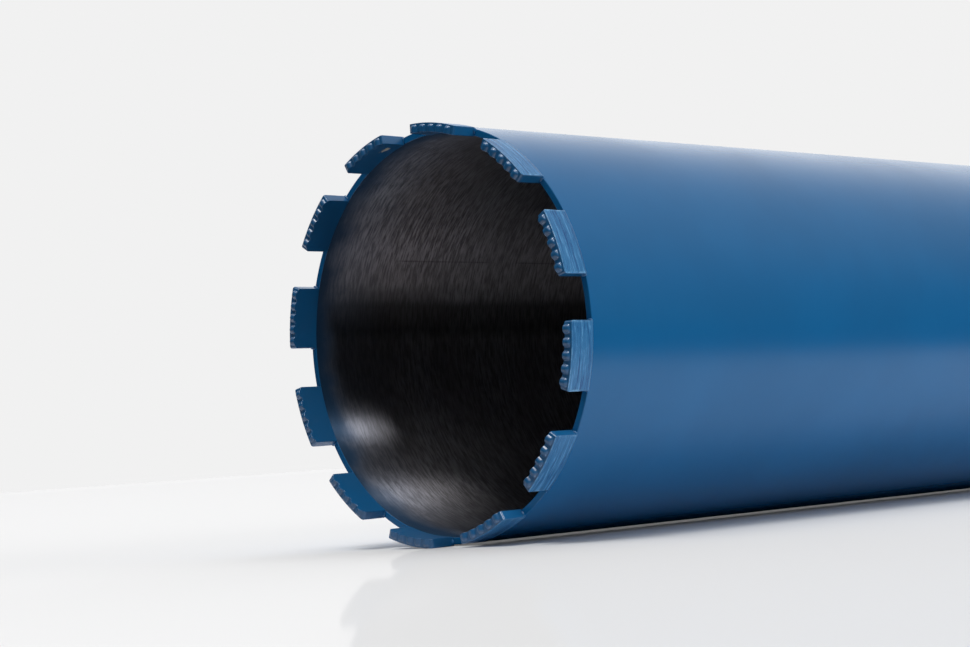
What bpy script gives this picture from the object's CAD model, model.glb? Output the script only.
import math

import bmesh
import bpy
from mathutils import Matrix, Vector, noise


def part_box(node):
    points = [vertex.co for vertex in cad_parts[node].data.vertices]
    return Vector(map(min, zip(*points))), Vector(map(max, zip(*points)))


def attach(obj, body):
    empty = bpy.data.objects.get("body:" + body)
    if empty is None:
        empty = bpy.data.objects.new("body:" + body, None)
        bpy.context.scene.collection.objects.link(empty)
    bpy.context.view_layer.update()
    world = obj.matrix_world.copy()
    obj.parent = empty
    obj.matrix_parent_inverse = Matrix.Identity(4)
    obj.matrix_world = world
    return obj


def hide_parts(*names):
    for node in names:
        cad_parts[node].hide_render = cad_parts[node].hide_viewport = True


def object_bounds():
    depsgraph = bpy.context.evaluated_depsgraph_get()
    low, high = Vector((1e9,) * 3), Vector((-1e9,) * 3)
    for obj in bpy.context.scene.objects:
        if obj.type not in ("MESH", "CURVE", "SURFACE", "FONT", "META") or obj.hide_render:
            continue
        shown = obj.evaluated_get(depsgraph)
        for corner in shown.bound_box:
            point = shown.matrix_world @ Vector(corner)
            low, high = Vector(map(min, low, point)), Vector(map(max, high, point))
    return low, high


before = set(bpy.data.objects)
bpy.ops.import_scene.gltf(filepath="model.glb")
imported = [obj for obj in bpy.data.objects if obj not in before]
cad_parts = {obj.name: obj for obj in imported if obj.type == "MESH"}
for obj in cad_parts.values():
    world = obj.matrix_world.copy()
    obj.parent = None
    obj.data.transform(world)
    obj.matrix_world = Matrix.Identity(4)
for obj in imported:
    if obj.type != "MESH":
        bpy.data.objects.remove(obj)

cad_low, cad_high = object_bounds()
MM = 0.001

# Diamond core bit, lying on its side. Its axis is Y, its hub is at y = 0 and its crown faces -Y.
# Shapes are worked out in millimetres and become metres in make_piece. Materials, lamps and the
# camera work in metres.

# Barrel, in millimetres
WELD_FIT = 0.05                 # radial gap between the end plate and the barrel
BARREL_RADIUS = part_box("barrel")[1].x / MM
BORE_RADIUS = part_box("end_plate")[1].x / MM + WELD_FIT
RIM_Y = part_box("barrel")[0].y / MM
BARREL_END_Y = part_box("barrel")[1].y / MM
BARREL_END_CHAMFER = 0.6
BARREL_END_EDGE = 0.2           # rounding of the edges at the closed end
RIM_ROUND = 0.3                 # paint rounds the rim's two edges
ROUND_STEPS = 256               # steps round the barrel

# Segments, in millimetres and degrees
SEGMENT_COUNT = 12
FIRST_SEGMENT_ANGLE = 79.5      # middle of segment 1, from +X towards +Z
CROWN_RADIUS = 76.0
SEGMENT_LENGTH = 24.0           # chord between the ends of a segment's outer face
SEGMENT_HALF = math.asin(SEGMENT_LENGTH / 2 / CROWN_RADIUS) * CROWN_RADIUS  # half, along the arc
SEGMENT_THICKNESS = 3.4
SEGMENT_HEIGHT = 10.4
SEGMENT_CORNER = 0.9            # rounded crown corners at both ends
SEGMENT_EDGE = 0.2              # every other edge, under its paint
SEGMENT_FOOT = 0.5              # rounded outer edge of the foot
SEGMENT_SEAT = 0.02             # the foot's other edges, which stay sharp on the rim

# Ridges across the crown of each segment, which are the tops of round bars
RIDGE_COUNT = 5
RIDGE_SPAN = 18.4               # between the first and the last ridge, along the outer face
RIDGE_WIDTH = 3.3
RIDGE_HEIGHT = 1.0
RIDGE_BAR_RADIUS = ((RIDGE_WIDTH / 2) ** 2 + RIDGE_HEIGHT ** 2) / (2 * RIDGE_HEIGHT)
RIDGE_LAND = 0.5                # flat left between a ridge's outer end and the outer face
RIDGE_NOSE = 1.2                # roll-off of the outer end
RIDGE_FADE = (0.6, 0.1)         # below the crown's flat, where the ridges start and are full

# Weld bead along the foot of each segment
BEAD_RADIUS = 0.43
BEAD_WANDER = 0.09              # how much the radius varies
BEAD_LIFT = 0.12                # from the rim towards the crown
BEAD_TURN_IN = 1.9              # how far in it starts, at a segment's ends
BEAD_OUTSIDE = 0.05             # its line runs this far outside a segment's ends
BEAD_PROUD = 0.02               # and outside the barrel

# Ring welds on the end plate
PLATE_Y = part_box("end_plate")[1].y / MM  # the plate's outer face
PLATE_WELD_LEG = 2.8
PLATE_WELD_RIPPLES = 170
HUB_WELD_LEG = 4.0
HUB_WELD_RIPPLES = 64
WELD_STEPS = 8                  # steps along one ripple
WELD_ACROSS = 10                # steps across the bead

# Hub thread, 1 1/4 inch - 7 UNC
THREAD_RADIUS = 31.75 / 2
THREAD_CREST_RADIUS = 13.9
THREAD_PITCH = 25.4 / 7
THREAD_STEPS = 72               # steps round one turn

ON_FACE = 0.02                  # a face this near to a radius counts as lying on it

# Camera, at the photograph's viewing angle
CAMERA_TARGET = Vector((23.26, -480.6, 1.96)) * MM
CAMERA_DISTANCE = 724.8 * MM
CAMERA_HEADING = 46.84          # degrees, from +Y towards -X
CAMERA_PITCH = 3.73             # it looks up a little
CAMERA_ROLL = -4.13
CAMERA_LENS = 76.26             # mm
CAMERA_SENSOR = 36              # mm wide

# Studio
FLOOR_Z = cad_low.z
FLOOR_SIZE = 400.0              # metres, so that it ends at the horizon
BACKGROUND = 0.88               # linear tone that the camera sees behind the floor
FLOOR_WHITE = (0.845, 0.845, 0.85)
FLOOR_SHINE = 0.10              # share of the floor's light that is a mirror image
TABLE_WHITE = (0.95, 0.94, 0.97)
TABLE_REACH = 0.185             # metres of white table to the right and in front of the bit
TABLE_EDGE = 0.14               # over which it fades out

# Lamps: name, direction from the bit, width in degrees, strength, whether it shows in
# reflections, and its floor link: EXCLUDE leaves the floor out, INCLUDE lights only the floor.
LAMPS = (
    ("key", (-0.005, -0.335, 0.942), 18, 0.75, True, None),
    ("right_box", (0.695, -0.17, 0.699), 8, 0.72, True, "EXCLUDE"),
    ("left_box", (-0.3, -0.3, 0.905), 12, 0.09, True, None),
    ("far_left_box", (-0.6, -0.2, 0.774), 12, 0.06, True, None),
    ("table_light", (-0.1, 0.0, 0.995), 60, 1.0, False, "INCLUDE"),
    ("side_fill", (0.90, 0.42, 0.08), 50, 1.4, False, None),
)

# Linear colours of the paint
PAINT_BLUE = (0.0055, 0.147, 0.378)
PAINT_DEEP = (0.0035, 0.112, 0.295)
PAINT_WORN = (0.22, 0.50, 0.78)
FACE_BLUE = (0.035, 0.205, 0.46)
FACE_DARK = (0.008, 0.085, 0.27)
FACE_LIGHT = (0.13, 0.38, 0.70)
DUST_GREY = (0.10, 0.115, 0.115)
BARE_METAL = (0.80, 0.72, 0.56)

# Linear colours of the hub and of the bore
HUB_DARK = (0.42, 0.41, 0.40)
HUB_LIGHT = (0.62, 0.61, 0.60)
HUB_OIL = (0.25, 0.23, 0.21)
STEEL_DARK = (0.20, 0.192, 0.20)
STEEL_LIGHT = (0.44, 0.43, 0.46)
STEEL_PATCH = (0.21, 0.19, 0.19)
BAND_DARK = (0.38, 0.345, 0.355)
BAND_LIGHT = (0.82, 0.75, 0.78)
STRIP_BLACK = (0.03, 0.03, 0.03)
SEAM_BLACK = (0.03, 0.026, 0.025)
SPRAY_TINT = (0.026, 0.075, 0.155)
SPRAY_TRACE = (0.22, 0.29, 0.42)

# Places on the surfaces, in metres
SEAM_ANGLE = math.radians(151.3)  # from +X towards +Z
SEAM_WIDTH = (0.0005, 0.0001)   # off its middle, where the seam starts and is full
SPRAY_DEPTH = 0.014             # overspray reaches this far into the bore
SPRAY_BOTTOM = (-0.062, -0.072)  # heights where it starts to reach further, and does so fully
# the bore's pale band and the dark strip under it: heights where each starts and is full
BAND_FOOT = (0.021, 0.028)
BAND_TOP = (0.062, 0.040)
STRIP_FOOT = (0.003, 0.009)
STRIP_TOP = (0.022, 0.017)
CROWN_Y = (RIM_Y - SEGMENT_HEIGHT) * MM
WORN_END = (11.0 * MM, 11.9 * MM)  # from a segment's middle, where wear starts and is full
WORN_CROWN = (0.7 * MM, 0.2 * MM)  # and the same from the flat of its crown
# chips in the segments' paint: x, y, z and size
CHIPS = ((-0.0174, -0.4850, 0.0705, 0.0010), (-0.0188, -0.4853, 0.0702, 0.0011),
         (-0.0201, -0.4858, 0.0698, 0.0008), (-0.0733, -0.4862, -0.0134, 0.0008))


class Graph:
    """Short calls that add nodes to one shader tree and link them."""

    def __init__(self, tree):
        self.tree = tree
        tree.nodes.clear()

    def add(self, kind, inputs=None, **settings):
        """Adds a node. An input is a socket to link or a constant."""
        node = self.tree.nodes.new("ShaderNode" + kind)
        for name, value in settings.items():
            setattr(node, name, value)
        for name, value in (inputs or {}).items():
            self.put(node.inputs[name], value)
        return node

    def put(self, socket, value):
        if isinstance(value, bpy.types.NodeSocket):
            self.tree.links.new(value, socket)
        else:
            socket.default_value = value

    def math(self, operation, *values):
        node = self.add("Math", operation=operation)
        for socket, value in zip(node.inputs, values):
            self.put(socket, value)
        return node.outputs[0]

    def times(self, first, *others):
        """Product of two or more numbers."""
        for other in others:
            first = self.math("MULTIPLY", first, other)
        return first

    def blend(self, value, start, end, low=0.0, high=1.0):
        """low where value is at start, high where it is at end, and smooth in between."""
        node = self.add("MapRange", {"Value": value, "From Min": start, "From Max": end,
                                     "To Min": low, "To Max": high},
                        interpolation_type="SMOOTHSTEP")
        return node.outputs["Result"]

    def mix(self, factor, first, second):
        """Mix of two colours. A colour is a socket or three numbers."""
        node = self.add("Mix", {0: factor}, data_type="RGBA")
        for socket, colour in ((node.inputs[6], first), (node.inputs[7], second)):
            is_socket = isinstance(colour, bpy.types.NodeSocket)
            self.put(socket, colour if is_socket else (*colour, 1))
        return node.outputs[2]

    def between(self, factor, first, second):
        """Mix of two numbers."""
        node = self.add("Mix", {0: factor, 2: first, 3: second}, data_type="FLOAT")
        return node.outputs[0]

    def place(self):
        """Position on the object, in metres."""
        return self.add("TexCoord").outputs["Object"]

    def axes(self, vector=None):
        """X, Y and Z of a vector, or of the position on the object."""
        split = self.add("SeparateXYZ", {"Vector": self.place() if vector is None else vector})
        return split.outputs["X"], split.outputs["Y"], split.outputs["Z"]

    def noise(self, scale, detail=3.0, stretch=(1, 1, 1), rough=0.5, waver=0.0):
        """Cloudy noise. stretch squeezes it along an axis where the number is large."""
        scaled = self.add("Mapping", {"Vector": self.place(), "Scale": stretch}).outputs[0]
        return self.add("TexNoise", {"Vector": scaled, "Scale": scale, "Detail": detail,
                                     "Roughness": rough, "Distortion": waver}).outputs[0]

    def bump(self, height, distance, strength):
        inputs = {"Height": height, "Distance": distance, "Strength": strength}
        return self.add("Bump", inputs).outputs[0]


def new_material(name):
    material = bpy.data.materials.new(name)
    material.use_nodes = True
    return material, Graph(material.node_tree)


# ---- materials ----

def end_graph(g, inputs):
    """Ends a graph with one Principled shader."""
    shader = g.add("BsdfPrincipled", inputs)
    g.add("OutputMaterial", {"Surface": shader.outputs[0]})


def chipped(g, colour, chips):
    """The colour with ragged spots of bare metal."""
    ragged = g.noise(900, 4, rough=0.7)
    for *place, radius in chips:
        away = g.add("VectorMath", {0: g.place(), 1: place}, operation="DISTANCE")
        frayed = g.blend(ragged, 0.3, 0.7, -0.7 * radius, 0.7 * radius)
        away = g.math("ADD", away.outputs["Value"], frayed)
        colour = g.mix(g.blend(away, radius, 0.8 * radius), colour, BARE_METAL)
    return colour


def blue_paint(name, gloss=0.24, ior=1.5, dust=0.0, chips=()):
    """Sprayed blue paint. gloss is its roughness, and dust is how much grey lies on it."""
    material, g = new_material(name)
    cloud = g.noise(22, 4)
    colour = g.mix(g.blend(cloud, 0.3, 0.7, 0.0, 0.4), PAINT_BLUE, PAINT_DEEP)
    if dust:
        film = g.blend(g.noise(130, 4, rough=0.6), 0.35, 0.7, 0.3 * dust, dust)
        colour = g.mix(film, colour, DUST_GREY)
    if chips:
        colour = chipped(g, colour, chips)
    rough = g.blend(cloud, 0.2, 0.8, gloss - 0.02, gloss + 0.03)
    ripple = g.bump(g.noise(160, 2), 0.00002, 0.25)
    end_graph(g, {"Base Color": colour, "Roughness": rough, "Normal": ripple, "IOR": ior})
    return material


def from_middle(g):
    """Distance round the rim from the middle of the nearest segment."""
    x, _, z = g.axes()
    off = g.math("SUBTRACT", g.math("ARCTAN2", z, x), math.radians(FIRST_SEGMENT_ANGLE))
    half_pitch = math.pi / SEGMENT_COUNT
    off = g.math("WRAP", off, half_pitch, -half_pitch)
    return g.times(g.math("ABSOLUTE", off), CROWN_RADIUS * MM)


def ground_paint():
    """Paint over the grinding lines of a segment's outer face, worn light at its edges."""
    material, g = new_material("ground_segment_paint")
    coarse = g.noise(40, 2, stretch=(1, 22, 1), waver=0.8)
    fine = g.noise(130, 4, stretch=(1, 14, 1), rough=0.7, waver=1.2)
    lines = g.math("ADD", g.times(coarse, 0.4), g.times(fine, 0.6))
    colour = g.mix(g.blend(lines, 0.38, 0.5), FACE_DARK, FACE_BLUE)
    colour = g.mix(g.blend(lines, 0.52, 0.62), colour, FACE_LIGHT)
    above_crown = g.math("SUBTRACT", g.axes()[1], CROWN_Y)
    edge = g.math("MAXIMUM", g.blend(from_middle(g), *WORN_END), g.blend(above_crown, *WORN_CROWN))
    speckle = g.blend(g.noise(420, 4, rough=0.7), 0.42, 0.62)
    colour = g.mix(g.times(edge, speckle), colour, PAINT_WORN)
    grooves = g.bump(lines, 0.0004, 0.5)
    end_graph(g, {"Base Color": colour, "Roughness": 0.32, "Normal": grooves, "IOR": 1.5})
    return material


def bare_steel(g, streaks, depth):
    """Streaky, patchy steel of the bore, lighter in a band along its upper left."""
    x, _, z = g.axes()
    on_left = g.math("LESS_THAN", x, 0.0)
    streak = g.blend(streaks, 0.35, 0.65)
    patches = g.blend(g.noise(16, 4, stretch=(1, 2, 1)), 0.35, 0.7, 0.0, 0.5)
    colour = g.mix(patches, g.mix(streak, STEEL_DARK, STEEL_LIGHT), STEEL_PATCH)
    # the band fades out at its top and deeper in, and ends below in a darker strip
    band = g.math("MINIMUM", g.blend(z, *BAND_FOOT), g.blend(z, *BAND_TOP))
    band = g.times(band, on_left, g.blend(depth, 0.03, 0.10, 0.6, 0.25))
    colour = g.mix(band, colour, g.mix(streak, BAND_DARK, BAND_LIGHT))
    strip = g.math("MINIMUM", g.blend(z, *STRIP_FOOT), g.blend(z, *STRIP_TOP))
    return g.mix(g.times(strip, on_left, 0.6), colour, STRIP_BLACK)


def overspray(g, depth):
    """Share of blue overspray inside the rim. It is uneven, and reaches further at the bottom."""
    uneven = g.blend(g.noise(60, 4), 0.2, 0.8, -0.003, 0.003)
    at_bottom = g.blend(g.axes()[2], *SPRAY_BOTTOM, 0.0, SPRAY_DEPTH / 2)
    drift = g.math("SUBTRACT", g.math("ADD", depth, uneven), at_bottom)
    return g.blend(drift, 0.0, SPRAY_DEPTH, 1.0, 0.0)


def seam(g, depth):
    """The rolled tube's seam: a thin line along the bore, faint, broken and gone near the rim."""
    x, _, z = g.axes()
    across = g.math("ADD", g.times(x, -math.sin(SEAM_ANGLE)), g.times(z, math.cos(SEAM_ANGLE)))
    line = g.blend(g.math("ABSOLUTE", across), *SEAM_WIDTH)
    on_its_side = g.math("LESS_THAN", x, 0.0)
    broken = g.blend(g.noise(45, 3), 0.40, 0.62, 0.0, 0.45)
    return g.times(line, on_its_side, broken, g.blend(depth, 0.01, 0.03))


def bore_steel():
    """Bare steel with scratches round the bore, a rolled seam, and overspray inside the rim."""
    material, g = new_material("bore_steel")
    depth = g.math("SUBTRACT", g.axes()[1], RIM_Y * MM)
    streaks = g.noise(170, 5, stretch=(1, 7, 1), rough=0.65)
    trace = g.blend(depth, 0.0, 3 * SPRAY_DEPTH, 0.35, 0.0)
    spray = overspray(g, depth)
    colour = g.mix(trace, bare_steel(g, streaks, depth), SPRAY_TRACE)
    colour = g.mix(spray, colour, SPRAY_TINT)
    colour = g.mix(seam(g, depth), colour, SEAM_BLACK)
    end_graph(g, {
        "Base Color": colour,
        "Roughness": g.blend(streaks, 0.3, 0.7, 0.38, 0.46),
        "Normal": g.bump(streaks, 0.0003, 0.3),
        "Metallic": g.blend(spray, 0.0, 1.0, 1.0, 0.45),
        "Anisotropic": 1.0,
        "Anisotropic Rotation": 0.25,
        "Tangent": g.add("Tangent", direction_type="RADIAL", axis="Y").outputs[0],
    })
    return material


def turned_steel():
    """Turned hub steel, with tool marks round the axis and a trace of dark oil."""
    material, g = new_material("hub_steel")
    marks = g.noise(60, 4, stretch=(1, 30, 1), rough=0.6)
    oil = g.noise(45, 4)
    colour = g.mix(g.blend(marks, 0.3, 0.7), HUB_DARK, HUB_LIGHT)
    colour = g.mix(g.blend(oil, 0.45, 0.75, 0.0, 0.5), colour, HUB_OIL)
    rough = g.blend(oil, 0.3, 0.7, 0.28, 0.42)
    grooves = g.bump(marks, 0.0003, 0.3)
    end_graph(g, {"Base Color": colour, "Roughness": rough, "Normal": grooves, "Metallic": 1.0})
    return material


# ---- meshes ----

def make_piece(name, vertices, faces, materials, stands_for=(), takes_second=None):
    """A smooth mesh that rides on the bit. Vertices are in millimetres.

    takes_second tells from the middle of a face whether it takes the second material.
    """
    mesh = bpy.data.meshes.new(name)
    mesh.from_pydata([Vector(v) * MM for v in vertices], [], faces)
    for material in materials:
        mesh.materials.append(material)
    for face in mesh.polygons:
        face.use_smooth = True
        if takes_second:
            face.material_index = int(takes_second(face.center / MM))
    fixed = bmesh.new()
    fixed.from_mesh(mesh)
    bmesh.ops.recalc_face_normals(fixed, faces=fixed.faces)
    fixed.to_mesh(mesh)
    fixed.free()
    piece = bpy.data.objects.new(name, mesh)
    bpy.context.scene.collection.objects.link(piece)
    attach(piece, "root")
    if stands_for:
        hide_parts(*stands_for)


def turned(profile, angle):
    """A profile of (radius, y) points, turned about the axis from +X towards +Z."""
    return [(r * math.cos(angle), y, r * math.sin(angle)) for r, y in profile]


def quads_between(rings, size, closed=True):
    """Quads between neighbouring rings of size points. closed joins the last to the first."""
    quads = []
    for i in range(rings if closed else rings - 1):
        here, there = i * size, (i + 1) % rings * size
        quads += [(here + j, here + (j + 1) % size, there + (j + 1) % size, there + j)
                  for j in range(size)]
    return quads


def rounded(corners, steps=4, support=0.15):
    """Closed profile with its corners rounded. A corner is (radius from the axis, y, round).

    Each side gets a point close to both of its ends, so that it is shaded flat.
    """
    profile = []
    for i, (r, y, size) in enumerate(corners):
        here = Vector((r, y))
        before = (Vector(corners[i - 1][:2]) - here).normalized()
        after = (Vector(corners[(i + 1) % len(corners)][:2]) - here).normalized()
        half = before.angle(after) / 2
        reach = size / math.tan(half)
        middle = here + (before + after).normalized() * size / math.sin(half)
        start, end = here + before * reach, here + after * reach
        spread = (start - middle).angle(end - middle)
        profile.append(start + before * support)
        for j in range(steps + 1):
            share = j / steps
            a = math.sin((1 - share) * spread) / math.sin(spread)
            b = math.sin(share * spread) / math.sin(spread)
            profile.append(middle + (start - middle) * a + (end - middle) * b)
        profile.append(end + after * support)
    return [tuple(p) for p in profile]


def make_barrel():
    profile = rounded([
        (BORE_RADIUS, RIM_Y, RIM_ROUND),
        (BARREL_RADIUS, RIM_Y, RIM_ROUND),
        (BARREL_RADIUS, BARREL_END_Y - BARREL_END_CHAMFER, BARREL_END_EDGE),
        (BARREL_RADIUS - BARREL_END_CHAMFER, BARREL_END_Y, BARREL_END_EDGE),
        (BORE_RADIUS, BARREL_END_Y, BARREL_END_EDGE),
    ])
    vertices = []
    for i in range(ROUND_STEPS):
        vertices += turned(profile, 2 * math.pi * i / ROUND_STEPS)

    def in_bore(middle):
        return math.hypot(middle.x, middle.z) < BORE_RADIUS + ON_FACE

    make_piece("barrel_skin", vertices, quads_between(ROUND_STEPS, len(profile)),
               [blue_paint("barrel_paint"), bore_steel()], ["barrel"], in_bore)


def clamp(value, low, high):
    return min(max(value, low), high)


def spaced(low, high, edge, steps):
    """Places along an axis: close together in its two rounded edges and even in between."""
    bend = 4
    closer = [edge * (1 - math.cos(math.pi / 2 * i / bend)) for i in range(bend)]
    inner = high - edge - low - edge
    even = [low + edge + inner * i / steps for i in range(steps + 1)]
    return [low + c for c in closer] + even + [high - c for c in closer[::-1]]


def ridge_rise(along, radius):
    """Height of the ridges over the crown's flat: round bars that roll off at the outer end."""
    pitch = RIDGE_SPAN / (RIDGE_COUNT - 1)
    number = clamp(round(along / pitch), -(RIDGE_COUNT // 2), RIDGE_COUNT // 2)
    away = abs(along - number * pitch)
    past = max(radius - (CROWN_RADIUS - RIDGE_LAND - RIDGE_NOSE), 0)
    if away >= RIDGE_WIDTH / 2 or past >= RIDGE_NOSE:
        return 0.0
    drop = RIDGE_NOSE - math.sqrt(RIDGE_NOSE ** 2 - past ** 2)
    bar = math.sqrt(RIDGE_BAR_RADIUS ** 2 - away ** 2) - RIDGE_BAR_RADIUS
    return max(bar + RIDGE_HEIGHT - drop, 0.0)


def rounded_off(point, low, high, low_reach, high_reach):
    """Moves a point on a block, from low to high, onto the same block with rounded edges.

    low_reach and high_reach are how far the rounding reaches in from each side, by axis.
    """
    core = Vector([clamp(p, a + x, b - y)
                   for p, a, b, x, y in zip(point, low, high, low_reach, high_reach)])
    off = Vector(point) - core
    reach = [y if o > 0 else x for o, x, y in zip(off, low_reach, high_reach)]
    unit = Vector([o / r for o, r in zip(off, reach)])
    if unit.length > 0:
        unit *= max(abs(u) for u in unit) / unit.length
    return core + Vector([u * r for u, r in zip(unit, reach)])


def segment_point(along, radius, share):
    """Point on segment 0, in the middle of +X, from a point on a plain block.

    along runs round the crown from the segment's middle, and share is the height over the rim,
    1 at the flat of the crown.
    """
    past = clamp(abs(along) - (SEGMENT_HALF - SEGMENT_CORNER), 0, SEGMENT_CORNER)
    top = SEGMENT_HEIGHT - SEGMENT_CORNER + math.sqrt(SEGMENT_CORNER ** 2 - past ** 2)
    height = share * top
    at_foot = radius > CROWN_RADIUS - SEGMENT_THICKNESS / 2 and height < top / 2
    edge = SEGMENT_EDGE
    along, radius, height = rounded_off(
        (along, radius, height),
        (-SEGMENT_HALF, CROWN_RADIUS - SEGMENT_THICKNESS, 0), (SEGMENT_HALF, CROWN_RADIUS, top),
        (edge, edge, SEGMENT_FOOT if at_foot else SEGMENT_SEAT),
        (edge, SEGMENT_FOOT if at_foot else edge, edge))
    start, full = RIDGE_FADE
    height += clamp((height - (top - start)) / (start - full), 0, 1) * ridge_rise(along, radius)
    angle = along / CROWN_RADIUS
    return (radius * math.cos(angle), RIM_Y - height, radius * math.sin(angle))


def shell(size):
    """The six sides of a lattice, as quads of (i, j, k) places."""
    for axis in range(3):
        u, v = [a for a in range(3) if a != axis]
        for side in (0, size[axis] - 1):
            for a in range(size[u] - 1):
                for b in range(size[v] - 1):
                    quad = []
                    for da, db in ((0, 0), (1, 0), (1, 1), (0, 1)):
                        place = [0, 0, 0]
                        place[axis], place[u], place[v] = side, a + da, b + db
                        quad.append(tuple(place))
                    yield quad


def segment_mesh():
    """Segment 0 as the surface of a lattice, which segment_point bends into shape."""
    along = spaced(-SEGMENT_HALF, SEGMENT_HALF, SEGMENT_CORNER, 120)
    across = spaced(CROWN_RADIUS - SEGMENT_THICKNESS, CROWN_RADIUS, SEGMENT_EDGE, 18)
    up = spaced(0, 1, 0.05, 10)
    index, vertices, faces = {}, [], []
    for quad in shell((len(along), len(across), len(up))):
        for i, j, k in quad:
            if (i, j, k) not in index:
                index[i, j, k] = len(vertices)
                vertices.append(segment_point(along[i], across[j], up[k]))
        faces.append([index[place] for place in quad])
    return vertices, faces


def segment_angle(number):
    """Where the middle of a segment is, from +X towards +Z."""
    return math.radians(FIRST_SEGMENT_ANGLE + (number - 1) * 360 / SEGMENT_COUNT)


def make_segments():
    vertices, faces = segment_mesh()
    paint = blue_paint("segment_paint", gloss=0.29, ior=2.0, dust=0.08, chips=CHIPS)
    skins = [paint, ground_paint()]

    def on_outer_face(middle):
        return math.hypot(middle.x, middle.z) > CROWN_RADIUS - ON_FACE

    for number in range(1, SEGMENT_COUNT + 1):
        turn = Matrix.Rotation(-segment_angle(number), 3, "Y")
        node = f"segment_{number:02d}"
        make_piece(f"crown_{node}", [turn @ Vector(v) for v in vertices], faces, skins,
                   [node], on_outer_face)


def tube(path, radii, steps=10):
    """Round tube along a path, with a pole at both ends."""
    vertices, faces = [path[0]], []
    last = len(path) - 1
    for i in range(1, last):
        ahead = (path[i + 1] - path[i - 1]).normalized()
        side = ahead.cross(Vector((0, 1, 0))).normalized()
        up = side.cross(ahead)
        turns = [2 * math.pi * j / steps for j in range(steps)]
        vertices += [path[i] + (side * math.cos(a) + up * math.sin(a)) * radii[i] for a in turns]
    vertices.append(path[-1])
    last_ring = 1 + (last - 2) * steps
    for j in range(steps):
        k = (j + 1) % steps
        faces.append((0, 1 + j, 1 + k))
        for a in range(1, last_ring, steps):
            b = a + steps
            faces.append((a + j, b + j, b + k, a + k))
        faces.append((last_ring + j, len(vertices) - 1, last_ring + k))
    return vertices, faces


def bead_route():
    """The bead's line round a foot, as (distance along the rim, distance from the axis)."""
    half = SEGMENT_HALF + BEAD_OUTSIDE
    radius = BARREL_RADIUS + BEAD_PROUD
    turn_in = [(-half, radius - BEAD_TURN_IN + 0.2 * i) for i in range(8)]
    straight = [(-half + 0.1 + (2 * half - 0.2) * i / 80, radius) for i in range(81)]
    return turn_in + straight + [(half, r) for _, r in turn_in[::-1]]


def bead_radius(point, from_end):
    """How thick the bead is at a point, which is a number of steps from its nearer end."""
    radius = BEAD_RADIUS + BEAD_WANDER * noise.noise(point / 1.3)
    fuller = 1.25 if 4 < from_end < 11 else 1.0     # where it turns the segment's corner
    return radius * fuller * min(1, 0.35 + 0.25 * from_end)


def make_segment_beads():
    """Fine weld bead along each segment's foot, which turns in round both of its ends."""
    vertices, faces = [], []
    for number in range(1, SEGMENT_COUNT + 1):
        middle = segment_angle(number)
        path = [Vector(turned([(r, RIM_Y - BEAD_LIFT)], middle + s / CROWN_RADIUS)[0])
                for s, r in bead_route()]
        last = len(path) - 1
        radii = [bead_radius(point, min(i, last - i)) for i, point in enumerate(path)]
        start = len(vertices)
        more, new_faces = tube(path, radii)
        vertices += more
        faces += [[start + i for i in face] for face in new_faces]
    paint = blue_paint("bead_paint", gloss=0.3, ior=1.8)
    make_piece("segment_beads", vertices, faces, [paint])


def weld_section(turn, wall_radius, leg, side, ripples):
    """Section of a fillet bead at one angle round the axis, as (radius, y) points."""
    scale = 0.5 + 0.5 * math.sin(ripples * turn + 0.6 * math.sin(ripples * turn))
    wobble = noise.noise(Vector((math.cos(turn), math.sin(turn), leg)) * 6)
    reach = leg * (0.95 - 0.03 * scale + 0.02 * wobble)
    bulge = leg * (0.03 + 0.15 * scale)
    section = [(wall_radius, PLATE_Y)]
    for j in range(WELD_ACROSS + 1):
        share = j / WELD_ACROSS
        out = bulge * math.sin(math.pi * share) / math.sqrt(2)
        section.append((wall_radius + side * (reach * (1 - share) + out),
                        PLATE_Y + reach * share + out))
    return section


def make_ring_weld(node, wall_radius, leg, side, ripples, paint):
    """Rippled fillet bead round the axis, on the end plate's outer face.

    side is -1 where the wall lies outside the bead and +1 where it lies inside it.
    """
    steps = ripples * WELD_STEPS
    vertices = []
    for i in range(steps):
        turn = 2 * math.pi * i / steps
        vertices += turned(weld_section(turn, wall_radius, leg, side, ripples), turn)
    faces = quads_between(steps, WELD_ACROSS + 2)
    make_piece(f"{node}_bead", vertices, faces, [paint], [node])


def make_welds():
    paint = blue_paint("weld_paint", gloss=0.3)
    collar_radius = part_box("hub_weld")[1].x / MM - HUB_WELD_LEG
    make_ring_weld("plate_weld", BORE_RADIUS, PLATE_WELD_LEG, -1, PLATE_WELD_RIPPLES, paint)
    make_ring_weld("hub_weld", collar_radius, HUB_WELD_LEG, 1, HUB_WELD_RIPPLES, paint)


def thread_section(top):
    """Section of the thread's ridge as (radius, y) points. top is the radius of its crest.

    Its foot lies a little inside the hub's wall, and the corners of its crest are broken.
    """
    crest = THREAD_PITCH / 8
    flank = (THREAD_RADIUS - THREAD_CREST_RADIUS) * math.tan(math.radians(30))
    bend, root = 0.1, THREAD_RADIUS + 0.1
    half = [(top, crest - bend), (top + bend, crest + 0.58 * bend), (root, crest + flank + 0.06)]
    return [(r, -y) for r, y in half[::-1]] + half


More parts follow.
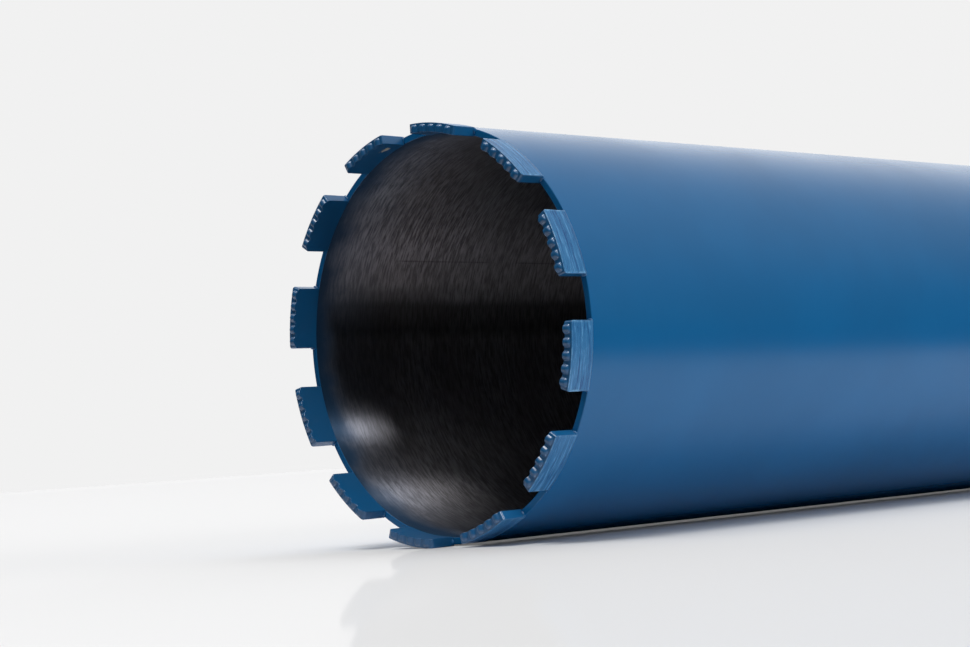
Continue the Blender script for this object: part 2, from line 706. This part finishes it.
def make_thread(steel):
    """Inside thread of the hub: one helical ridge with a flat crest, which fades at both ends."""
    hub_length = -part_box("hub")[0].y / MM
    margin = 0.55 * THREAD_PITCH
    turns = (hub_length - 2 * margin) / THREAD_PITCH
    count = int(turns * THREAD_STEPS)
    fade_steps = THREAD_STEPS / 3
    vertices = []
    for i in range(count + 1):
        rise = max(min(1, i / fade_steps, (count - i) / fade_steps), 0.02)
        top = THREAD_RADIUS - (THREAD_RADIUS - THREAD_CREST_RADIUS) * rise
        y = -(margin + THREAD_PITCH * i / THREAD_STEPS)
        section = [(r, y + dy) for r, dy in thread_section(top)]
        vertices += turned(section, 2 * math.pi * i / THREAD_STEPS)
    size = len(thread_section(THREAD_RADIUS))
    faces = quads_between(count + 1, size, closed=False)
    faces += [tuple(range(size)), tuple(count * size + j for j in range(size))[::-1]]
    make_piece("hub_thread", vertices, faces, [steel])


def dress(node, material):
    """Gives a CAD node its material. Its shape stays."""
    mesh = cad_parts[node].data
    mesh.materials.clear()
    mesh.materials.append(material)


# ---- studio ----

def aim_camera():
    data = bpy.data.cameras.new("camera")
    data.lens = CAMERA_LENS
    data.sensor_width = CAMERA_SENSOR
    data.clip_start, data.clip_end = 0.01, 1000
    camera = bpy.data.objects.new("camera", data)
    bpy.context.scene.collection.objects.link(camera)
    turn = (Matrix.Rotation(math.radians(CAMERA_HEADING), 4, "Z")
            @ Matrix.Rotation(math.radians(90 + CAMERA_PITCH), 4, "X")
            @ Matrix.Rotation(math.radians(CAMERA_ROLL), 4, "Z"))
    back = turn.to_3x3() @ Vector((0, 0, 1))
    camera.matrix_world = Matrix.Translation(CAMERA_TARGET + back * CAMERA_DISTANCE) @ turn
    bpy.context.scene.camera = camera


def make_world():
    """The studio by direction: white behind on the left, dim on the right, dark low in front."""
    world = bpy.data.worlds.new("studio")
    world.use_nodes = True
    bpy.context.scene.world = world
    g = Graph(world.node_tree)
    x, y, height = g.axes(g.add("TexCoord").outputs["Generated"])
    front = g.blend(height, 0.45, 0.95, 0.02, 0.45)
    back_right = g.blend(height, 0.05, 0.65, 0.06, 0.5)
    back_left = g.blend(height, 0.3, 0.85, 1.3, 0.5)
    back = g.between(g.blend(x, 0.2, -0.35), back_right, back_left)
    tone = g.between(g.blend(y, -0.05, 0.35), front, back)
    light = g.add("Background", {"Color": (1, 1, 1, 1), "Strength": tone})
    seen = g.add("Background", {"Color": (BACKGROUND,) * 3 + (1,), "Strength": 1.0})
    camera_ray = g.add("LightPath").outputs["Is Camera Ray"]
    both = g.add("MixShader", {0: camera_ray, 1: light.outputs[0], 2: seen.outputs[0]})
    g.add("OutputWorld", {"Surface": both.outputs[0]})


def table_tone(g):
    """How white the floor is to bounced light: a table that ends on the right and in front.

    It is darker in front of the rim, and black in a strip under the bit, its contact shadow.
    """
    x, y, _ = g.axes()
    right = g.math("MAXIMUM", x, 0.0)
    front = g.math("MAXIMUM", g.math("SUBTRACT", RIM_Y * MM, y), 0.0)
    away = g.math("SQRT", g.math("ADD", g.times(right, right), g.times(front, front)))
    white = g.blend(away, TABLE_REACH, TABLE_REACH + TABLE_EDGE, 0.9, 0.03)
    in_front = g.blend(front, 0.0, 0.03, 1.0, 0.55)
    beside = g.math("ADD", g.math("ABSOLUTE", x), g.times(front, 3.0))
    return g.times(white, in_front, g.blend(beside, 0.014, 0.034))


def make_floor():
    bpy.ops.mesh.primitive_plane_add(size=FLOOR_SIZE, location=(0, 0, FLOOR_Z))
    floor = bpy.context.object
    floor.name = "floor"
    material, g = new_material("floor")
    bounced = g.mix(table_tone(g), (0.0, 0.0, 0.0), TABLE_WHITE)
    colour = g.mix(g.add("LightPath").outputs["Is Camera Ray"], bounced, FLOOR_WHITE)
    matt = g.add("BsdfDiffuse", {"Color": colour})
    shine = g.add("BsdfGlossy", {"Color": (1, 1, 1, 1), "Roughness": 0.05})
    both = g.add("MixShader", {0: FLOOR_SHINE, 1: matt.outputs[0], 2: shine.outputs[0]})
    g.add("OutputMaterial", {"Surface": both.outputs[0]})
    floor.data.materials.append(material)


def make_lamp(name, toward, angle, strength, shows, floor):
    """Distant soft box. LAMPS says what the values are."""
    data = bpy.data.lights.new(name, "SUN")
    data.angle = math.radians(angle)
    data.energy = strength
    lamp = bpy.data.objects.new(name, data)
    lamp.rotation_mode = "QUATERNION"
    lamp.rotation_quaternion = Vector(toward).to_track_quat("Z", "Y")
    lamp.visible_glossy = shows
    bpy.context.scene.collection.objects.link(lamp)
    if floor:
        lit = bpy.data.collections.new(f"{name}_lit")
        lit.objects.link(bpy.data.objects["floor"])
        lit.collection_objects[0].light_linking.link_state = floor
        lamp.light_linking.receiver_collection = lit


aim_camera()
make_world()
make_floor()
for lamp_values in LAMPS:
    make_lamp(*lamp_values)
make_barrel()
make_segments()
make_segment_beads()
make_welds()
dress("end_plate", blue_paint("plate_paint"))
dress("hub", turned_steel())
make_thread(bpy.data.materials["hub_steel"])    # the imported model's own steel, which is plain

bpy.context.scene.view_settings.view_transform = "Standard"
